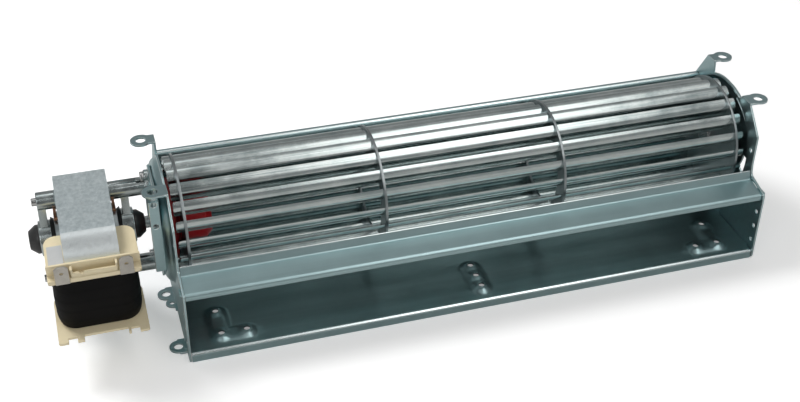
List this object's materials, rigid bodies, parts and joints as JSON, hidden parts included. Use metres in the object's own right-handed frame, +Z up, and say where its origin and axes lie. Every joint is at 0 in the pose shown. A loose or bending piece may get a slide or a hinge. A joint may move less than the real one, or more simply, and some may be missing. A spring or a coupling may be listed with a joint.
{
  "type": "cross flow fan",
  "caption": "Tangential blower: a long bladed roller in a sheet steel scroll with a wide front outlet, driven at its left end by an open shaded pole motor.",
  "frame": {"origin": "centre of the four foot holes, on the supporting surface under the casing", "axes": "+X along the shaft away from the motor, -Y out of the outlet mouth, +Z up"},
  "size_m": [0.377, 0.0976, 0.0847],
  "materials": {
    "galvanised_sheet": "galvanised, satin",
    "plated_steel": "zinc plated, bright",
    "black_rubber": "matt",
    "bronze": "sintered, satin",
    "laminations": "fine grained, matt",
    "cream_plastic": "moulded, satin",
    "taped_copper": "black tape, matt",
    "tinned_brass": "tinned, satin",
    "copper": "bright",
    "die_casting": "as cast, satin",
    "felt": "felt",
    "black_plastic": "moulded, satin",
    "aluminium_strip": "bright rolled",
    "aluminium_disc": "satin",
    "red_rubber": "satin"
  },
  "bodies": {
    "casing": {"scroll_casing": "galvanised_sheet", "front_deflector": "galvanised_sheet", "left_side_plate": "galvanised_sheet", "right_side_plate": "galvanised_sheet", "motor_mount_bracket": "galvanised_sheet", "motor_foot_screws": "plated_steel", "tail_bearing_rubber": "black_rubber", "tail_bearing": "bronze", "stator_core": "laminations", "coil_core": "laminations", "coil_bobbin": "cream_plastic", "coil_winding": "taped_copper", "left_terminal": "tinned_brass", "right_terminal": "tinned_brass", "shading_rings": "copper", "outer_bearing_bracket": "die_casting", "inner_bearing_bracket": "die_casting", "bracket_screws": "plated_steel", "outer_sleeve_bearing": "bronze", "inner_sleeve_bearing": "bronze", "outer_felt_ring": "felt", "inner_felt_ring": "felt", "outer_bearing_cap": "black_plastic", "inner_bearing_cap": "black_plastic", "outer_bearing_retainer": "black_plastic", "inner_bearing_retainer": "black_plastic"},
    "roller": {"impeller_blades": "aluminium_strip", "left_end_disc": "aluminium_disc", "left_middle_ring": "aluminium_disc", "right_middle_ring": "aluminium_disc", "right_end_disc": "aluminium_disc", "flexible_coupling": "red_rubber", "motor_shaft": "plated_steel", "rotor_core": "laminations", "rotor_end_rings": "aluminium_disc", "thrust_washers": "black_plastic", "tail_shaft": "plated_steel", "tail_thrust_washer": "black_plastic"}
  },
  "joints": [
    {"name": "roller_spin", "type": "hinge", "parent": "casing", "child": "roller", "pos_m": [0, 0.0185, 0.049], "axis": [1, 0, 0], "continuous": true}
  ]
}
